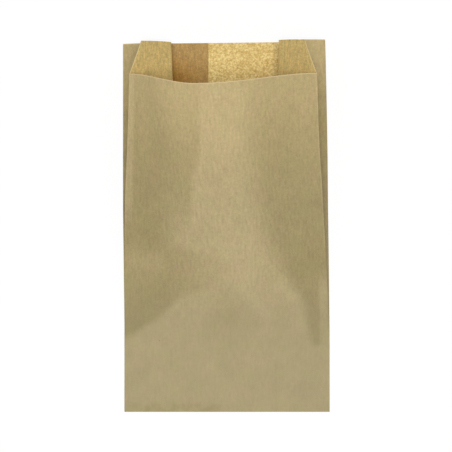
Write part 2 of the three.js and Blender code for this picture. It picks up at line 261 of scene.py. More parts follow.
# The next two spans are where the seam's painted shade deepens
SEAM_PAINTED_SHADE_BETWEEN = (242, 266)
SEAM_PAINTED_SHADE_LEFT_OF = (-40, -16)
LIP_EDGE_BETWEEN = (0.35, 0.8)
SLANT_EDGE_BETWEEN = (0.9, 2.2)
BACK_MARGIN = 0.5

# Noises of the paper: their scale for each millimetre, their detail and their roughness
FIBRE_NOISE = (0.6, 4.0, 0.65)
FIBRE_STRETCH = 0.22
GRAIN_NOISE = (0.55, 4.0, 0.75)
COARSE_NOISE = (0.8, 3.0, 0.7)
CLOUD_NOISE = (0.08, 3.0, 0.5)
TINT_NOISE = (0.09, 2.0, 0.5)
HEM_NOISE = (0.16, 2.0, 0.5)
GOLD_NOISE = (0.2, 2.0, 0.5)

# How much each noise lightens and darkens the paper
OUTSIDE_FIBRES = 0.12
OUTSIDE_GRAIN = 0.13
OUTSIDE_CLOUDS = 0.1
ROUGHER_TIMES = 2.2
INSIDE_FIBRES = 0.45
GOLD_PATCHES = 0.25
GOLD_GRAIN = 0.35
SEAM_COARSE = 0.6
GUSSET_COARSE = 0.52
EDGE_GRAIN = 0.15

# Specks: cells for each millimetre, the edge of a speck in parts of a cell, and how dark it is
SPECK_CELLS = 0.07
SPECK_EDGE = (0.015, 0.04)
SPECK_STRENGTH = 0.35

# The fine relief of the paper, in millimetres and in parts
RELIEF_DEPTH = 0.06
RELIEF_PART = 0.6
FACE_RELIEF = 0.5
EDGE_RELIEF = 0.3

# The camera looks straight down, and FLOOR_VIEW is how much of the floor it sees from side to side, in metres
CAMERA_HEIGHT = 0.9115
CAMERA_X = -0.0002
CAMERA_Y = 0.0007
FLOOR_VIEW = 0.3309
SENSOR = 36

# The world's even light and the soft sun
WORLD_LIGHT = 0.42
KEY_LIGHT = 1.85
KEY_TOWARDS = (0.0, 0.1, -1.0)
KEY_ANGLE = 28

# The floor reaches some metres to each side, a little below the bag, whose level is in millimetres
FLOOR_REACH = 3
FLOOR_LEVEL = -0.1
FLOOR_GREY = 0.8
FLOOR_GLOW = 1.06
FLOOR_GLOW_PART = 0.8


def ease(distance, width):
    """0 below -width/2, the distance itself above width/2, and a parabola between them."""
    middle = (distance + width / 2) ** 2 / (2 * width)
    return np.where(distance <= -width / 2, 0.0, np.where(distance >= width / 2, distance, middle))


def share(value, start, length):
    return np.clip((value - start) / length, 0, 1)


def smooth(value, start, length):
    part = share(value, start, length)
    return part * part * (3 - 2 * part)


def profile(value, points):
    """Straight lines between a few points, each given as a place and the value there."""
    return np.interp(value, *zip(*points))


def progress(station, start):
    """How far the opening has come at a station: 0 at its start and 1 at the lip."""
    return ease((station - start) / (LIP_LENGTH - start), FOOT_SOFTNESS)


def rises_early(station, start):
    part = progress(station, start)
    return part * (EARLY_PACE - (EARLY_PACE - 1) * part)


def rises_late(station, start, power):
    return progress(station, start) ** power


def hem_lift(station):
    """The hem lifts the layers above it, which sink back to the floor over the ramp."""
    return HEM_THICKNESS * (1 - smooth(station, HEM_LENGTH, HEM_RAMP))


def front_height(across, station):
    """The front is bent at a ridge and at a shoulder that runs down to the foot of the right fold."""
    left = LEFT_FOLD_RISE * rises_late(station, LEFT_FOLD_START, LEFT_LATE_POWER)
    right = RIGHT_FOLD_RISE * rises_late(station, RIGHT_FOLD_START, RIGHT_LATE_POWER)
    ridge = RIDGE_RISE * rises_early(station, RIDGE_START)
    shoulder = SHOULDER_RISE * rises_early(station, SHOULDER_START)
    down = 1 - share(station, SHOULDER_FOOT, SHOULDER_STRAIGHT_FROM - SHOULDER_FOOT)
    shoulder_at = SHOULDER_AT + (SHOULDER_FOOT_AT - SHOULDER_AT) * down
    left_slope = (ridge - left) / (RIDGE_AT + HALF)
    top_slope = (shoulder - ridge) / (shoulder_at - RIDGE_AT)
    right_slope = (right - shoulder) / (HALF - shoulder_at)
    shoulder_round = np.minimum(SHOULDER_ROUND, WIDEST_ROUND * (HALF - shoulder_at))
    near_lip = smooth(station, LIP_ROUND_FROM, LIP_LENGTH - LIP_ROUND_FROM)
    ridge_round = RIDGE_ROUND + (LIP_ROUND - RIDGE_ROUND) * near_lip
    return (
        PAPER / 2
        + FRONT_OVER_BACK
        + hem_lift(station)
        + left
        + left_slope * (across + HALF)
        + (top_slope - left_slope) * ease(across - RIDGE_AT, ridge_round)
        + (right_slope - top_slope) * ease(across - shoulder_at, shoulder_round)
    )


def back_height(across, station):
    """The back lies on the floor, and its right corner curls up."""
    outward = ease((across - CURL_FROM) / (HALF - CURL_FROM), CURL_SOFTNESS)
    upward = ease((station - CURL_START) / (BAG_LENGTH - CURL_START), CURL_FOOT_SOFTNESS)
    return PAPER / 2 + hem_lift(station) + CURL_RISE * outward * upward


def seam_inside(across):
    """How far the inner face stands off the middle line of a single sheet where the seam doubles it."""
    single = PAPER * share(across, SEAM_OUTER_EDGE - SEAM_TAPER, SEAM_TAPER - CUT_SLOPE)
    return np.where(across > SEAM_INNER_EDGE, 0.0, np.where(across >= SEAM_OUTER_EDGE, PAPER, single))


def seam_outside(across):
    return np.where(across >= SEAM_OUTER_EDGE, 0.0, seam_inside(across))


def cut_skew(across):
    """The mouth is cut a little askew: how much longer a line is than the one in the middle."""
    return CUT_SKEW * across / (2 * HALF)


def crease_height(across, station):
    """How far the soft creases lift the front and the dents lower it, fading out towards its folds."""
    lift = np.zeros_like(across + station)
    for (a0, s0), (a1, s1), height, reach in CREASES:
        length = np.hypot(a1 - a0, s1 - s0)
        way = ((a1 - a0) / length, (s1 - s0) / length)
        along = ((across - a0) * way[0] + (station - s0) * way[1]) / length
        aside = ((across - a0) * way[1] - (station - s0) * way[0]) / reach
        begun = smooth(along, -CREASE_PAST_END, CREASE_END)
        ended = smooth(along, 1 + CREASE_PAST_END - CREASE_END, CREASE_END)
        lift += height * begun * (1 - ended) * np.exp(-np.sqrt(aside**2 + CREASE_ROUND))
    for a0, s0, depth, radius in DENTS:
        lift -= depth * np.exp(-((across - a0) ** 2 + (station - s0) ** 2) / radius**2)
    inside = 1 - np.abs(across / HALF) ** FOLD_FADE_POWER
    return lift * inside * smooth(station, *RELIEF_START)


def waviness(x, station):
    """The gentle waves that all layers share, never below the flat sheet."""
    wave = sum(
        height * (1 + np.sin(TURN_PER_MM * (kx * x + ky * station) + phase))
        for kx, ky, phase, height in WAVES
    )
    return wave * smooth(station, *WAVES_START)


def left_flank_shade(across, station):
    """The left flank starts at a soft step beside the ridge and is lighter right beside its fold."""
    step = profile(station, LEFT_STEP) * smooth(profile(station, LEFT_STEP_AT) - across, *LEFT_STEP_EDGE)
    broad = profile(station, LEFT_DEEPENING) * smooth(-across, *LEFT_DEEPENING_EDGE)
    beside_fold = FOLD_LIGHT * smooth(-across, *FOLD_LIGHT_EDGE) * smooth(station, *FOLD_LIGHT_START)
    return step + broad - beside_fold


def left_foot_shade(across, station):
    """Where the left fold leaves the flat part, a wedge of shade ends in a lighter band above it."""
    above_edge = station - profile(across, FOOT_EDGE_AT)
    from_band = (station - FOOT_BAND_AT) / FOOT_BAND_WIDTH
    band = 1 - FOOT_BAND * np.exp(-(from_band**2)) * smooth(-across, *FOOT_BAND_EDGE)
    return FOOT_SHADE * smooth(-across, *FOOT_DEEPENING) * smooth(above_edge, *FOOT_EDGE) * band


def right_flank_shade(across, station):
    """The right flank narrows to a finger with a round tip beside the fold at its foot."""
    softness = FINGER_SOFTNESS + (FLANK_SOFTNESS - FINGER_SOFTNESS) * smooth(station, *FLANK_START)
    flank = smooth(across - profile(station, RIGHT_EDGE_AT), -softness / 4, softness)
    strip = 1 - STRIP_LIGHT * smooth(across, *STRIP_EDGE) * (1 - smooth(station, *STRIP_END))
    return profile(station, RIGHT_SHADE) * flank * strip * smooth(station, *FINGER_TIP)


def front_shade(across, station):
    """How much of its full tone the front keeps at a place: shade on both flanks and on a spot between them,
    and a light band."""
    above_foot = smooth(station, *FOOT_END)
    foot = left_foot_shade(across, station) * (1 - above_foot)
    left = foot + left_flank_shade(across, station) * above_foot
    from_spot = (across - SPOT_AT[0]) ** 2 + (station - SPOT_AT[1]) ** 2
    spot = SPOT_SHADE * np.exp(-from_spot / SPOT_RADIUS**2)
    beside = (across - profile(station, RIDGE_LIGHT_AT)) / RIDGE_LIGHT_WIDTH
    length = smooth(station, *RIDGE_LIGHT_START) * (1 - smooth(station, *RIDGE_LIGHT_END))
    light = RIDGE_LIGHT * np.exp(-(beside**2)) * length
    return 1 - left - right_flank_shade(across, station) - spot + light


def divided(marks, step):
    """The marks with even steps between them."""
    values = [marks[0]]
    for low, high in zip(marks, marks[1:]):
        count = max(1, round((high - low) / step))
        values += [low + (high - low) * (i + 1) / count for i in range(count)]
    return np.array(values)


# The places across the front and the back where a line of the sheet runs
FRONT_PLACES = np.linspace(-HALF, HALF, FRONT_COLUMNS)
BACK_PLACES = divided(
    [
        -HALF,
        SEAM_OUTER_EDGE - SEAM_TAPER,
        SEAM_OUTER_EDGE - CUT_SLOPE,
        SEAM_OUTER_EDGE,
        SEAM_INNER_EDGE,
        SEAM_INNER_EDGE + CUT_SLOPE,
        HALF,
    ],
    BACK_STEP,
)

# Where the middle of the back lies on the unrolled sheet
BACK_MIDDLE = -HALF - 2 * LEFT_GUSSET - HALF


class Line:
    """One line of the sheet along the bag: its panel, its place there, its unrolled place and its cut."""

    def __init__(self, place, across, unrolled, cut):
        self.place = place
        self.across = across
        self.unrolled = unrolled
        self.cut = cut


def gusset_parts(half_width):
    """Where the lines of a gusset's front and back half run, as parts of the way across the half."""
    slant = SLANT_WIDTH / half_width
    front = divided([0, slant, 1], 1 / GUSSET_COLUMNS)
    back = divided([0, 1], 1 / GUSSET_COLUMNS)
    return front, back


def gusset_lines(side, half_width):
    """Lines of one gusset from its front fold over the inner fold to its back fold."""
    skew = side * CUT_SKEW / 2
    front, back = gusset_parts(half_width)
    slant = SLANT_WIDTH / half_width
    lip = LIP_LENGTH + skew
    full = BAG_LENGTH + skew
    lines = [Line("front fold", side * HALF, side * HALF, lip)]
    for part in front:
        cut = lip + (full - lip) * min(part / slant, 1)
        aside = part * half_width
        lines.append(Line("upper", side * (HALF - aside), side * (HALF + aside), cut))
    inner = side * (HALF + half_width)
    lines.append(Line("inner fold", side * (HALF - half_width), inner, full))
    for part in back:
        aside = part * half_width
        lines.append(Line("lower", side * (HALF - half_width + aside), inner + side * aside, full))
    lines.append(Line("back fold", side * HALF, inner + side * half_width, full))
    return lines


def sheet_lines():
    """All lines, anticlockwise seen from the bottom fold: the front from right to left, the left gusset, the
    back from left to right, and the right gusset."""
    front = [Line("front", a, a, LIP_LENGTH + cut_skew(a)) for a in FRONT_PLACES[::-1]]
    left = gusset_lines(-1, LEFT_GUSSET)
    back = [Line("back", a, BACK_MIDDLE - a, BAG_LENGTH + cut_skew(a)) for a in BACK_PLACES]
    right = gusset_lines(1, RIGHT_GUSSET)[::-1]
    return front + left + back + right


LINES = sheet_lines()
PLACES = np.array([line.place for line in LINES])
ON_BACK = PLACES == "back"
ON_FRONT = PLACES == "front"
IN_GUSSET = (PLACES == "lower") | (PLACES == "upper") | (PLACES == "inner fold")
ACROSS = np.array([line.across for line in LINES])
UNROLLED = np.array([line.unrolled for line in LINES])
CUT = np.array([line.cut for line in LINES])


def sheet_shade(station):
    """The shade at every line of the sheet, each at its own station."""
    left = profile(station, LEFT_GUSSET_SHADE)
    right = profile(station, RIGHT_GUSSET_SHADE)
    gusset = np.where(ACROSS < 0, left, right)
    # Painted light along both folds of the front
    fold_light_line = FOLD_LIGHT_LINE * smooth(np.abs(ACROSS), *FOLD_LIGHT_LINE_EDGE) * smooth(station, *FOLD_LIGHT_LINE_START)
    front = front_shade(ACROSS, station) + fold_light_line
    return np.where(ON_FRONT, front, np.where(IN_GUSSET, gusset, 1.0))


def panel_points(places, heights):
    """Walks across a panel: x, and the sine and cosine of its tilt at each place."""
    steps = np.diff(places)
    rises = np.diff(heights)
    x = np.concatenate([[0], np.cumsum(np.sqrt(np.maximum(steps**2 - rises**2, 0)))])
    sine = np.gradient(heights, places)
    return x, sine, np.sqrt(1 - sine**2)


def gusset_apex(top, bottom, side, half_width, station):
    """The inner fold lies the gusset's half width from both of its outer folds, between the panels."""
    across_x = top[0] - bottom[0]
    gap = np.hypot(across_x, top[1] - bottom[1])
    reach = np.sqrt(half_width**2 - (gap / 2) ** 2)
    level = (top[1] + bottom[1]) / 2 + side * across_x * reach / gap
    across = side * (HALF - half_width)
    lowest = back_height(across, station) + seam_inside(across) + LEAST_GAP
    highest = max(front_height(across, station) - LEAST_GAP, lowest)
    z = min(max(level, lowest), highest)
    return np.array([bottom[0] - side * np.sqrt(half_width**2 - (z - bottom[1]) ** 2), z])


def gusset_panel(start, end, turns, parts):
    """A flat gusset panel between two fold centres: rows of x, z and the way out of the paper. A turn is 1 at
    an outer fold and -1 at the inner one."""
    way = (end - start) / np.hypot(*(end - start))
    out = np.array([way[1], -way[0]])
    points = []
    for part in parts:
        turn = (1 - part) * turns[0] + part * turns[1]
        points.append([*(start + (end - start) * part + BEND * turn * out), *out])
    return points, way


def fold_point(centre, way_in, way_out, turn):
    """The middle of a fold's round back, between the panel that comes in and the one that goes out."""
    back = (way_in - way_out) / np.hypot(*(way_in - way_out))
    return [*(centre + BEND * back), *(turn * back)]


def gusset_points(side, half_width, front_end, back_end, station):
    """Points of one gusset. The ends are points of the front and of the back beside it."""
    top = front_end[:2] - BEND * front_end[2:]
    bottom = back_end[:2] - BEND * back_end[2:]
    inner = gusset_apex(top, bottom, side, half_width, station)
    front, back = gusset_parts(half_width)
    along_front = np.array([-front_end[3], front_end[2]])
    along_back = np.array([-back_end[3], back_end[2]])
    if side < 0:
        upper, upper_way = gusset_panel(top, inner, (1, -1), front)
        lower, lower_way = gusset_panel(inner, bottom, (-1, 1), back)
        return [
            fold_point(top, along_front, upper_way, 1),
            *upper,
            fold_point(inner, upper_way, lower_way, -1),
            *lower,
            fold_point(bottom, lower_way, along_back, 1),
        ]
    lower, lower_way = gusset_panel(bottom, inner, (1, -1), 1 - back[::-1])
    upper, upper_way = gusset_panel(inner, top, (-1, 1), 1 - front[::-1])
    return [
        fold_point(bottom, along_back, lower_way, 1),
        *lower,
        fold_point(inner, lower_way, upper_way, -1),
        *upper,
        fold_point(top, upper_way, along_front, 1),
    ]


def wall_section(station):
    """The closed middle line of the wall at one station: x, z and the way out, one row for each line."""
    front_z = front_height(FRONT_PLACES, station)
    back_z = back_height(BACK_PLACES, station)
    front_x, front_sine, front_cosine = panel_points(FRONT_PLACES, front_z)
    back_x, back_sine, back_cosine = panel_points(BACK_PLACES, back_z)
    slack = back_x[-1] - front_x[-1]
    up = share(station, SHARE_START, LIP_LENGTH - SHARE_START)
    left_share = LEFT_SHARE_LOW + (LEFT_SHARE_HIGH - LEFT_SHARE_LOW) * up
    back_x = back_x - HALF - LEAN * share(station, LEAN_START, LEAN_LENGTH)
    front_x = front_x + back_x[0] + slack * left_share
    front = np.column_stack([front_x, front_z, -front_sine, front_cosine])[::-1]
    back = np.column_stack([back_x, back_z, back_sine, -back_cosine])
    left = gusset_points(-1, LEFT_GUSSET, front[-1], back[0], station)
    right = gusset_points(1, RIGHT_GUSSET, front[0], back[-1], station)
    return np.vstack([front, left, back, right])


def walk_up():
    """Sections up the bag, and how far along Y each line has come when it keeps its length."""
    furthest = BAG_LENGTH + CUT_SKEW + 2 * WALK_STEP
    stations = np.arange(0, furthest + WALK_STEP, WALK_STEP)
    sections = np.array([wall_section(s) for s in stations])
    aside = np.diff(sections[:, :, 0], axis=0) ** 2 + np.diff(sections[:, :, 1], axis=0) ** 2
    steps = np.sqrt(np.maximum(WALK_STEP**2 - aside, 0))
    y = np.vstack([np.zeros(len(LINES)), np.cumsum(steps, axis=0)])
    return sections, y


SECTIONS, REACHED = walk_up()


def faces_at(stations):
    """Outer and inner points of all lines, each at its own station."""
    k = np.floor(stations / WALK_STEP).astype(int)
    part = (stations / WALK_STEP - k)[:, None]
    index = np.arange(len(LINES))
    point = SECTIONS[k, index] * (1 - part) + SECTIONS[k + 1, index] * part
    y = REACHED[k, index] * (1 - part[:, 0]) + REACHED[k + 1, index] * part[:, 0]
    x = point[:, 0]
    z = point[:, 1] + waviness(x, stations)
    z = z + np.where(ON_FRONT, crease_height(ACROSS, stations), 0)
    outside = PAPER / 2 - np.where(ON_BACK, seam_outside(ACROSS), 0)
    inside = PAPER / 2 + np.where(ON_BACK, seam_inside(ACROSS), 0)
    outer = np.column_stack([x + point[:, 2] * outside, y, z + point[:, 3] * outside])
    inner = np.column_stack([x - point[:, 2] * inside, y, z - point[:, 3] * inside])
    return outer, inner


# Numbers of the materials of the two faces and of the cut edge. The first two also pick a result of faces_at.
OUTSIDE, INSIDE, EDGE = 0, 1, 2


class Mesh:
    """Corners, faces, the material of each face, and what the materials read at each corner."""

    def __init__(self):
        self.corners = []
        self.faces = []
        self.materials = []
        self.across = []
        self.station = []
        self.to_cut = []
        self.shade = []

    def ring(self, points, stations):
        """Adds one corner for each line of the sheet."""
        first = len(self.corners)
        self.corners += [tuple(p) for p in points]
        self.across += list(UNROLLED)
        self.station += list(stations)
        self.to_cut += list(CUT - stations)
        self.shade += list(sheet_shade(stations))
        return list(range(first, first + len(points)))

    def bottom_corner(self, line, x, y, z):
        """Adds a corner of the round bottom fold, which lies in full light."""
        self.corners.append((x, y, z))
        self.across.append(UNROLLED[line])
        self.station.append(y)
        self.to_cut.append(CUT[line])
        self.shade.append(1)
        return len(self.corners) - 1

    def face(self, material, *indices):
        if len(set(indices)) == len(indices):
            self.faces.append(indices)
            self.materials.append(material)

    def band(self, low, high, material, faces_out):
        """A band between two closed rings, the second further up the bag or inside the first at the cut."""
        for i, a in enumerate(low):
            j = (i + 1) % len(low)
            quad = (a, high[i], high[j], low[j])
            self.face(material, *(quad if faces_out else quad[::-1]))

    def fill(self, upper, lower, material, faces_down):
        """Fills the space between two chains of corners that run the same way in X."""
        sign = np.sign(self.corners[upper[-1]][0] - self.corners[upper[0]][0])
        i = j = 0
        while i < len(upper) - 1 or j < len(lower) - 1:
            upper_next = sign * self.corners[upper[i + 1]][0] if i < len(upper) - 1 else np.inf
            lower_next = sign * self.corners[lower[j + 1]][0] if j < len(lower) - 1 else np.inf
            take_upper = upper_next <= lower_next
            third = upper[i + 1] if take_upper else lower[j + 1]
            triangle = (upper[i], lower[j], third)
            if (sign > 0) != faces_down:
                triangle = triangle[::-1]
            self.face(material, *triangle)
            i, j = (i + 1, j) if take_upper else (i, j + 1)


def row_stations():
    """Stations of the rows that all lines share."""
    marks = [0, HEM_LENGTH, HEM_LENGTH + CUT_SLOPE, HEM_LENGTH + HEM_RAMP, LAST_EVEN_ROW]
    return [s for s in divided(marks, ROW_STEP) if s > CAVITY_AT]


def rings_of(mesh, side, first_station):
    """All rings of the outer or the inner face, from the bottom up to the cut of each line."""
    count = len(LINES)
    rows = [np.full(count, first_station)]
    rows += [np.full(count, s) for s in row_stations()]
    rows += [LAST_EVEN_ROW + (CUT - LAST_EVEN_ROW) * (i + 1) / ROWS_TO_CUT for i in range(ROWS_TO_CUT)]
    rings = []
    for stations in rows:
        points = faces_at(stations)[side]
        if side == OUTSIDE:
            points[:, 2] = np.where(ON_BACK & (stations <= HEM_LENGTH), 0, points[:, 2])
        rings.append(mesh.ring(points, stations))
    return rings


def numbers_of(place):
    return [i for i, line in enumerate(LINES) if line.place == place]


def stretch(start, end):
    step = 1 if end > start else -1
    return list(range(start, end + step, step))


FRONTS = numbers_of("front")
BACKS = numbers_of("back")
LEFT_FRONT, RIGHT_FRONT = numbers_of("front fold")
LEFT_BACK, RIGHT_BACK = numbers_of("back fold")
LEFT_INNER, RIGHT_INNER = numbers_of("inner fold")

# The gusset halves, each from its outer fold to the inner one
LEFT_UPPER = stretch(LEFT_FRONT, LEFT_INNER)
LEFT_LOWER = stretch(LEFT_BACK, LEFT_INNER)
RIGHT_UPPER = stretch(RIGHT_FRONT, RIGHT_INNER)
RIGHT_LOWER = stretch(RIGHT_BACK, RIGHT_INNER)


def close_gaps(mesh, outer):
    """The space between a gusset's halves ends where the layers meet at the bottom fold."""
    for upper, lower in ((LEFT_UPPER, LEFT_LOWER), (RIGHT_UPPER, RIGHT_LOWER)):
        mesh.fill([outer[i] for i in upper], [outer[i] for i in lower], OUTSIDE, False)


def close_cavity(mesh, inner):
    """The inside ends there too: a pocket above and one below each gusset, and the space between them."""

    def x_of(line):
        return mesh.corners[inner[line]][0]

    left_end = x_of(LEFT_INNER)
    right_end = x_of(RIGHT_INNER)
    rightward = FRONTS[::-1]
    front_middle = [i for i in rightward if left_end < x_of(i) < right_end]
    back_middle = [i for i in BACKS if left_end < x_of(i) < right_end]
    front_left = [i for i in rightward if x_of(i) <= left_end]
    front_right = [i for i in rightward if x_of(i) >= right_end][::-1]
    back_left = [i for i in BACKS if x_of(i) <= left_end]
    back_right = [i for i in BACKS if x_of(i) >= right_end][::-1]
    pockets = [
        ([LEFT_FRONT, *front_left, front_middle[0]], LEFT_UPPER),
        (LEFT_LOWER, [LEFT_BACK, *back_left, back_middle[0]]),
        ([LEFT_INNER, *front_middle, RIGHT_INNER], [LEFT_INNER, *back_middle, RIGHT_INNER]),
        ([RIGHT_FRONT, *front_right, front_middle[-1]], RIGHT_UPPER),
        (RIGHT_LOWER, [RIGHT_BACK, *back_right, back_middle[-1]]),
    ]
    for upper, lower in pockets:
        mesh.fill([inner[i] for i in upper], [inner[i] for i in lower], INSIDE, False)


def round_bottom(mesh, outer):
    """Below the gaps the layers are one stack, which ends in the round bottom fold."""
    around = [*FRONTS, LEFT_FRONT, LEFT_BACK, *BACKS, RIGHT_BACK, RIGHT_FRONT]
    above = {i: outer[i] for i in around}
    for height in BOTTOM_ROUND_AT:
        y = CLOSED_AT * (1 - np.sqrt(1 - height**2))
        ring = {}
        for i in around:
            x, _, z = mesh.corners[outer[i]]
            ring[i] = mesh.bottom_corner(i, x, y, STACK / 2 + (z - STACK / 2) * height)
        mesh.band([ring[i] for i in around], [above[i] for i in around], OUTSIDE, True)
        above = ring
    upper = [LEFT_FRONT, *FRONTS[::-1], RIGHT_FRONT]
    lower = [LEFT_BACK, *BACKS, RIGHT_BACK]
    mesh.fill([above[i] for i in upper], [above[i] for i in lower], OUTSIDE, True)


def build_sheet():
    """The closed mesh of the whole sheet: both faces, the cut edge of the mouth and the bottom."""
    mesh = Mesh()
    outer = rings_of(mesh, OUTSIDE, CLOSED_AT)
    inner = rings_of(mesh, INSIDE, CAVITY_AT)
    for low, high in zip(outer, outer[1:]):
        mesh.band(low, high, OUTSIDE, True)
    for low, high in zip(inner, inner[1:]):
        mesh.band(low, high, INSIDE, False)
    mesh.band(outer[-1], inner[-1], EDGE, True)
    close_gaps(mesh, outer[0])
    close_cavity(mesh, inner[0])
    round_bottom(mesh, outer[0])
    return mesh


def add_attribute(data, name, values):
    layer = data.attributes.new(name, "FLOAT", "POINT")
    layer.data.foreach_set("value", np.asarray(values, dtype=np.float32))


def build_bag(materials):
    """The bag, set where the CAD solid lies."""
    sheet = build_sheet()
    corners = np.array(sheet.corners)
    low, high = (np.array(v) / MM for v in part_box("paper_bag"))
    shift = np.array([(low[0] + high[0]) / 2, low[1], low[2]])
    plain = np.array([(corners[:, 0].min() + corners[:, 0].max()) / 2, 0, 0])
    corners = (corners - plain + shift) * MM
    data = bpy.data.meshes.new("paper_sheet")
    data.from_pydata(corners.tolist(), [], sheet.faces)
    for material in materials:
        data.materials.append(material)
    data.polygons.foreach_set("material_index", sheet.materials)
    add_attribute(data, "across", sheet.across)
    add_attribute(data, "station", sheet.station)
    add_attribute(data, "to_cut", sheet.to_cut)
    add_attribute(data, "shade", sheet.shade)
    data.shade_smooth()
    data.set_sharp_from_angle(angle=np.radians(SHARP_FROM_DEGREES))
    data.update()
    data.validate()
    bag = bpy.data.objects.new("paper_sheet", data)
    bpy.context.collection.objects.link(bag)
    return bag


def srgb(red, green, blue):
    """A linear colour from one written as it shows on a screen."""
    values = [v / 255 for v in (red, green, blue)]
    return (*[v / 12.92 if v <= 0.04045 else ((v + 0.055) / 1.055) ** 2.4 for v in values], 1)


class Nodes:
    """Short ways to make the nodes of one material."""

    def __init__(self, name):
        self.material = bpy.data.materials.new(name)
        self.material.use_nodes = True
        self.tree = self.material.node_tree
        self.tree.nodes.clear()

    def node(self, kind, **settings):
        made = self.tree.nodes.new("ShaderNode" + kind)
        for key, value in settings.items():
            setattr(made, key, value)
        return made

    def put(self, socket, value):
        if isinstance(value, bpy.types.NodeSocket):
            self.tree.links.new(value, socket)
        else:
            socket.default_value = value

    def attribute(self, name):
        return self.node("Attribute", attribute_name=name).outputs["Fac"]

    def math(self, operation, *values):
        made = self.node("Math", operation=operation)
        for socket, value in zip(made.inputs, values):
            self.put(socket, value)
        return made.outputs[0]

    def ramp(self, value, start, end, low=0.0, high=1.0):
        """low up to start, high from end on, and a smooth change between them."""
        made = self.node("MapRange", interpolation_type="SMOOTHSTEP")
        for socket, number in zip(made.inputs, (value, start, end, low, high)):
            self.put(socket, number)
        return made.outputs[0]

    def vector(self, x, y, z=0.0):
        made = self.node("CombineXYZ")
        for socket, value in zip(made.inputs, (x, y, z)):
            self.put(socket, value)
        return made.outputs[0]

    def noise(self, vector, scale, detail, roughness):
        made = self.node("TexNoise")
        self.put(made.inputs["Vector"], vector)
        made.inputs["Scale"].default_value = scale
        made.inputs["Detail"].default_value = detail
        made.inputs["Roughness"].default_value = roughness
        return made.outputs["Fac"]

    def mix(self, factor, first, second):
        made = self.node("Mix", data_type="RGBA")
        self.put(made.inputs["Factor"], factor)
        sockets = [s for s in made.inputs if s.type == "RGBA"]
        self.put(sockets[0], first)
        self.put(sockets[1], second)
        return [s for s in made.outputs if s.type == "RGBA"][0]

    def tinted(self, colour, factors):
        made = self.node("VectorMath", operation="MULTIPLY")
        self.put(made.inputs[0], colour)
        self.put(made.inputs[1], factors)
        return made.outputs[0]

    def scaled(self, colour, factor):
        made = self.node("VectorMath", operation="SCALE")
        self.put(made.inputs[0], colour[:3] if isinstance(colour, tuple) else colour)
        self.put(made.inputs["Scale"], factor)
        return made.outputs[0]


class Paper:
    """What every face of the paper shares: its places, its fibres along the bag and its fine grain. The noise
    values are about one half on average."""

    def __init__(self, name):
        n = self.n = Nodes(name)
        self.across = n.attribute("across")
        self.station = n.attribute("station")
        drawn_out = n.vector(self.across, n.math("MULTIPLY", self.station, FIBRE_STRETCH))
        self.fibres = n.noise(drawn_out, *FIBRE_NOISE)
        self.grain = n.noise(self.place(), *GRAIN_NOISE)

    def place(self, layer=0.0):
        """The place on the unrolled sheet. Each layer gives a noise of its own."""
        return self.n.vector(self.across, self.station, layer)

    def varied(self, colour, amounts):
        """The colour made lighter and darker by each value's distance from one half, times its amount."""
        n = self.n
        total = 1.0
        for value, amount in amounts:
            part = n.math("MULTIPLY", n.math("SUBTRACT", value, 0.5), n.math("MULTIPLY", amount, 2.0))
            total = n.math("ADD", total, part)
        return n.scaled(colour, total)

    def flecked(self, colour):
        """A few small dark fibre specks, spread at random."""
        n = self.n
        cells = n.node("TexVoronoi")
        n.put(cells.inputs["Vector"], self.place(layer=19.0))
        cells.inputs["Scale"].default_value = SPECK_CELLS
        speck = n.ramp(cells.outputs["Distance"], *SPECK_EDGE, low=SPECK_STRENGTH, high=0.0)
        return n.mix(speck, colour, srgb(*SPECK))

    def finished(self, colour, relief):
        """A matt shader with the grain and the fibres as a fine relief."""
        n = self.n
        shader = n.node("BsdfPrincipled")
        n.put(shader.inputs["Base Color"], colour)
        n.put(shader.inputs["Roughness"], n.ramp(self.grain, start=0.3, end=0.7, low=0.72, high=0.92))
        shader.inputs["Specular IOR Level"].default_value = 0.25
        fibres = n.math("MULTIPLY", self.fibres, RELIEF_PART)
        grain = n.math("MULTIPLY", self.grain, RELIEF_PART)
        made = n.node("Bump")
        made.inputs["Strength"].default_value = relief
        made.inputs["Distance"].default_value = RELIEF_DEPTH * MM
        n.put(made.inputs["Height"], n.math("ADD", fibres, grain))
        n.put(shader.inputs["Normal"], made.outputs[0])
        output = n.node("OutputMaterial")
        n.tree.links.new(shader.outputs[0], output.inputs[0])
        return n.material


def outside_tone_and_painted_light(paper):
    """Greyer where the layers lie flat, and lighter and warmer where one sheet stands open, which is painted
    light for the light that comes through the single sheet, with rosy and olive patches.
    """
    n = paper.n
    # Painted light: lighter and warmer up the front towards the lip
    lit_rising = n.ramp(paper.station, *RISING_PAINTED_LIGHT_BETWEEN)
    lit_near_lip = n.ramp(paper.station, *NEAR_LIP_PAINTED_LIGHT_BETWEEN)
    colour = n.mix(lit_rising, srgb(*PRESSED_FLAT), srgb(*RISING_PAINTED_LIGHT))
    colour = n.mix(lit_near_lip, colour, srgb(*NEAR_LIP_PAINTED_LIGHT))
    patches = n.noise(paper.place(layer=31.0), *TINT_NOISE)
    olive = n.ramp(patches, start=0.35, end=0.65)
    return n.mix(olive, n.tinted(colour, ROSY), n.tinted(colour, OLIVE))


def darkened_hem(paper, colour):
    """Darker mottles along the bottom fold, over the left half of the front."""
    n = paper.n
    patches = n.noise(paper.place(), *HEM_NOISE)
    mottled = n.ramp(patches, start=0.4, end=0.6, low=0.2, high=1.0)
    low = n.ramp(paper.station, *HEM_DARKENING_BETWEEN, low=1.0, high=0.0)
    left = n.ramp(paper.across, *HEM_DARKENING_LEFT_OF, low=1.0, high=0.1)
    darkening = n.math("MULTIPLY", n.math("MULTIPLY", low, left), mottled)
    return n.mix(darkening, colour, n.tinted(colour, HEM_DARKENING))


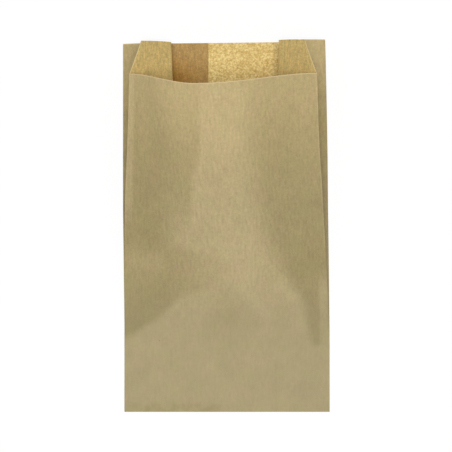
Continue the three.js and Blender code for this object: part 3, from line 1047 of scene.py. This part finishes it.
def shaded(paper, colour):
    """The colour in the shade that the mesh carries, which takes most of the blue, on the front above all."""
    n = paper.n
    shade = n.attribute("shade")
    on_front = n.math("LESS_THAN", n.math("ABSOLUTE", paper.across), HALF)
    warmth = n.math("MULTIPLY_ADD", on_front, FRONT_WARMTH, SHADE_WARMTH)
    depth = n.math("MULTIPLY", n.math("SUBTRACT", 1.0, shade), warmth)
    return n.tinted(colour, n.vector(shade, shade, n.math("SUBTRACT", 1.0, depth)))


def outside_paper():
    """The outside of the kraft paper, rougher up the bag and pale along the lip."""
    paper = Paper("kraft_outside")
    n = paper.n
    clouds = n.noise(paper.place(layer=7.0), *CLOUD_NOISE)
    rough = n.ramp(paper.station, *ROUGHER_BETWEEN, low=1.0, high=ROUGHER_TIMES)
    fibres = n.math("MULTIPLY", rough, OUTSIDE_FIBRES)
    grain = n.math("MULTIPLY", rough, OUTSIDE_GRAIN)
    amounts = [(paper.fibres, fibres), (paper.grain, grain), (clouds, OUTSIDE_CLOUDS)]
    colour = paper.varied(outside_tone_and_painted_light(paper), amounts)
    colour = shaded(paper, darkened_hem(paper, colour))
    lip = n.ramp(n.attribute("to_cut"), *LIP_EDGE_BETWEEN, low=0.75, high=0.0)
    colour = n.mix(lip, colour, srgb(*LIP_EDGE))
    return paper.finished(paper.flecked(colour), FACE_RELIEF)


def golden_layer_with_painted_light(paper, coarse):
    """The single layer of the back, with fine pale and dark speckles. Its golden tone is partly the paper's
    colour and partly painted light, for the light that comes through the sheet.
    """
    n = paper.n
    patches = n.noise(paper.place(layer=12.0), *GOLD_NOISE)
    speckle = n.ramp(n.math("MULTIPLY_ADD", patches, GOLD_PATCHES, coarse), start=0.43, end=0.83)
    golden = n.mix(speckle, srgb(*GOLD_DARK), srgb(*GOLD_LIGHT))
    return paper.varied(golden, [(paper.grain, GOLD_GRAIN)])


def brown_seam_with_painted_shade(paper, coarse, on_back):
    """The doubled layers of the seam, with painted shade that makes them deeper in tone down in the bag and
    beside the left gusset.
    """
    n = paper.n
    down = n.ramp(paper.station, *SEAM_PAINTED_SHADE_BETWEEN, low=1.0, high=0.0)
    left = n.ramp(on_back, *SEAM_PAINTED_SHADE_LEFT_OF, low=1.0, high=0.3)
    brown = n.mix(n.math("MULTIPLY", down, left), srgb(*SEAM_BROWN), srgb(*SEAM_PAINTED_SHADE))
    return paper.varied(brown, [(coarse, SEAM_COARSE), (paper.fibres, INSIDE_FIBRES)])


def gusset_layer(paper, coarse):
    """The gusset and the front, with a light line along the slanted cut and the lip."""
    n = paper.n
    gusset = paper.varied(srgb(*GUSSET_GOLD), [(coarse, GUSSET_COARSE), (paper.fibres, INSIDE_FIBRES)])
    by_slant = n.math("LESS_THAN", n.math("ABSOLUTE", paper.across), HALF + SLANT_WIDTH)
    near_cut = n.ramp(n.attribute("to_cut"), *SLANT_EDGE_BETWEEN, low=0.8, high=0.0)
    return n.mix(n.math("MULTIPLY", by_slant, near_cut), gusset, srgb(*SLANT_EDGE))


def inside_paper():
    """The inside: golden and speckled in one layer, browner where the glued seam makes two. The golden layer
    is lighter by painted light, for the light that comes through the single sheet.
    """
    paper = Paper("kraft_inside")
    n = paper.n
    coarse = n.noise(paper.place(layer=3.0), *COARSE_NOISE)
    on_back = n.math("SUBTRACT", BACK_MIDDLE, paper.across)
    in_seam = n.math("LESS_THAN", on_back, SEAM_INNER_EDGE)
    is_back = n.math("LESS_THAN", paper.across, BACK_MIDDLE + HALF + BACK_MARGIN)
    colour = n.mix(in_seam, golden_layer_with_painted_light(paper, coarse), brown_seam_with_painted_shade(paper, coarse, on_back))
    colour = n.mix(is_back, gusset_layer(paper, coarse), colour)
    return paper.finished(paper.flecked(colour), FACE_RELIEF)


def cut_edge():
    """The cut edge of the paper, paler because the fibres stand open."""
    paper = Paper("kraft_cut_edge")
    return paper.finished(paper.varied(srgb(*CUT_FACE), [(paper.grain, EDGE_GRAIN)]), EDGE_RELIEF)


def add_camera():
    data = bpy.data.cameras.new("camera")
    data.sensor_width = SENSOR
    data.lens = SENSOR * CAMERA_HEIGHT / FLOOR_VIEW
    camera = bpy.data.objects.new("camera", data)
    camera.location = (CAMERA_X, CAMERA_Y, CAMERA_HEIGHT)
    bpy.context.collection.objects.link(camera)
    bpy.context.scene.camera = camera


def add_sun(name, towards, strength, angle):
    data = bpy.data.lights.new(name, "SUN")
    data.energy = strength
    data.angle = np.radians(angle)
    lamp = bpy.data.objects.new(name, data)
    lamp.rotation_euler = Vector(towards).to_track_quat("-Z", "Y").to_euler()
    bpy.context.collection.objects.link(lamp)


def seen_directly(tree):
    """1 for rays from the camera, in a mirror or through glass, and 0 for the light on the bag."""
    path = tree.nodes.new("ShaderNodeLightPath")
    seen = path.outputs["Is Camera Ray"]
    for ray in ("Is Glossy Ray", "Is Transmission Ray"):
        either = tree.nodes.new("ShaderNodeMath")
        either.operation = "MAXIMUM"
        tree.links.new(seen, either.inputs[0])
        tree.links.new(path.outputs[ray], either.inputs[1])
        seen = either.outputs[0]
    return seen


def add_lights():
    """An even world that shows white, and one soft sun from above."""
    world = bpy.data.worlds.new("studio")
    bpy.context.scene.world = world
    world.use_nodes = True
    tree = world.node_tree
    level = tree.nodes.new("ShaderNodeMapRange")
    tree.links.new(seen_directly(tree), level.inputs["Value"])
    level.inputs["To Min"].default_value = WORLD_LIGHT
    level.inputs["To Max"].default_value = 1
    background = tree.nodes["Background"]
    background.inputs["Color"].default_value = (1, 1, 1, 1)
    tree.links.new(level.outputs[0], background.inputs["Strength"])
    add_sun("key", KEY_TOWARDS, KEY_LIGHT, KEY_ANGLE)


def floor_material():
    n = Nodes("floor_white")
    seen = seen_directly(n.tree)
    paint = n.node("BsdfDiffuse")
    paint.inputs["Color"].default_value = (FLOOR_GREY, FLOOR_GREY, FLOOR_GREY, 1)
    glow = n.node("Emission")
    glow.inputs["Strength"].default_value = FLOOR_GLOW
    mixed = n.node("MixShader")
    n.put(mixed.inputs[0], n.math("MULTIPLY", seen, FLOOR_GLOW_PART))
    n.tree.links.new(paint.outputs[0], mixed.inputs[1])
    n.tree.links.new(glow.outputs[0], mixed.inputs[2])
    output = n.node("OutputMaterial")
    n.tree.links.new(mixed.outputs[0], output.inputs[0])
    return n.material


def add_floor():
    """A pale floor that shows white to the camera and keeps the bag's soft shadow."""
    ends = (-FLOOR_REACH, FLOOR_REACH)
    corners = [(x, y, FLOOR_LEVEL * MM) for x in ends for y in ends]
    data = bpy.data.meshes.new("floor")
    data.from_pydata(corners, [], [(0, 2, 3, 1)])
    data.materials.append(floor_material())
    floor = bpy.data.objects.new("floor", data)
    bpy.context.collection.objects.link(floor)


bag = build_bag([outside_paper(), inside_paper(), cut_edge()])
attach(bag, "root")
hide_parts("paper_bag")
add_camera()
add_lights()
add_floor()
bpy.context.scene.view_settings.view_transform = "Standard"
